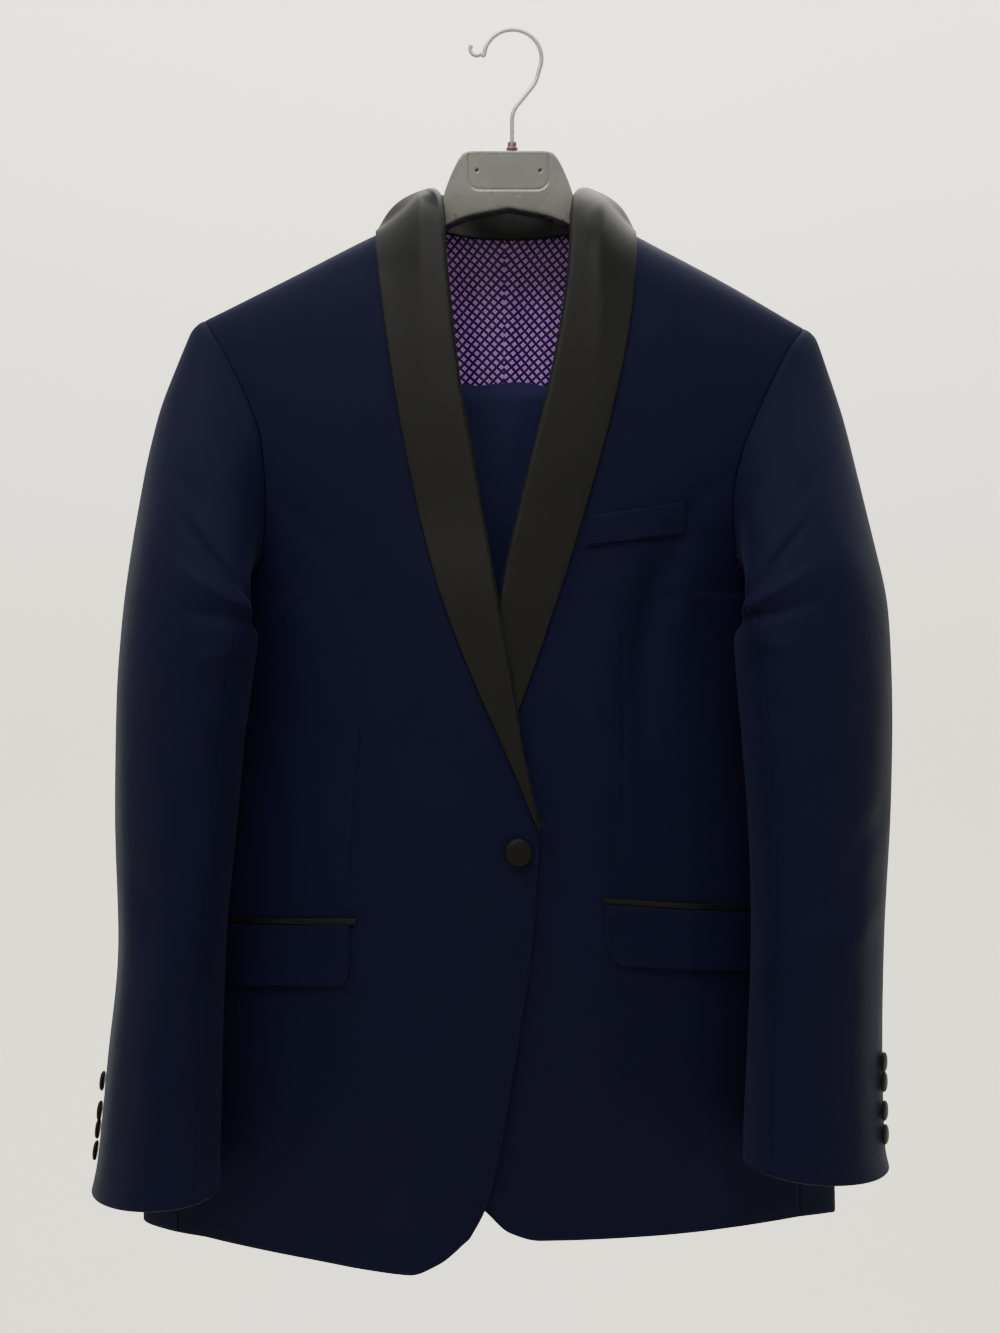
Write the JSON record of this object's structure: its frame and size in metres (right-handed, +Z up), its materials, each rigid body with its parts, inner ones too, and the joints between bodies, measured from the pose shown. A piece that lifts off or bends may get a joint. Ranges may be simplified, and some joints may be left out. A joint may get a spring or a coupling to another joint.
{
  "type": "tuxedo suit on a hanger",
  "caption": "Single-breasted shawl-collar dinner jacket hung on a moulded hanger, with its trousers folded over the bar inside.",
  "frame": {"origin": "inner top of the hook's wire, where the hanger rests on a rail or a peg", "axes": "+Z up along the hung suit, the front faces -Y, +X to the viewer's right (the wearer's left)"},
  "size_m": [0.5876, 0.1645, 0.9244],
  "materials": {
    "suiting": "midnight navy worsted wool, soft sheen",
    "trouser_cloth": "midnight navy worsted wool, soft sheen",
    "satin": "black ribbed satin facing, low lustre",
    "lining": "purple lattice lining, silky",
    "button_cloth": "black satin-covered button",
    "hanger_plastic": "charcoal moulded plastic, lightly mottled",
    "steel_wire": "bright plated steel wire",
    "ferrule": "dark red-brown collar"
  },
  "bodies": {
    "root": {"hanger_hook": "steel_wire", "hook_ferrule": "ferrule", "hanger_body": "hanger_plastic", "hanger_bar": "hanger_plastic", "front_right": "suiting", "side_right": "suiting", "back_right": "suiting", "top_sleeve_right": "suiting", "under_sleeve_right": "suiting", "pocket_flap_right": "suiting", "shawl_collar_right": "satin", "pocket_jet_right": "satin", "back_lining_right": "lining", "cuff_button_right_1": "button_cloth", "cuff_button_right_2": "button_cloth", "cuff_button_right_3": "button_cloth", "cuff_button_right_4": "button_cloth", "front_left": "suiting", "side_left": "suiting", "back_left": "suiting", "top_sleeve_left": "suiting", "under_sleeve_left": "suiting", "pocket_flap_left": "suiting", "shawl_collar_left": "satin", "pocket_jet_left": "satin", "back_lining_left": "lining", "cuff_button_left_1": "button_cloth", "cuff_button_left_2": "button_cloth", "cuff_button_left_3": "button_cloth", "cuff_button_left_4": "button_cloth", "collar_stand": "satin", "breast_welt": "suiting", "front_button": "button_cloth", "trouser_back_panel": "trouser_cloth", "trouser_front_panel": "trouser_cloth", "trouser_folded_layers": "trouser_cloth", "trouser_waistband": "trouser_cloth"}
  },
  "joints": []
}
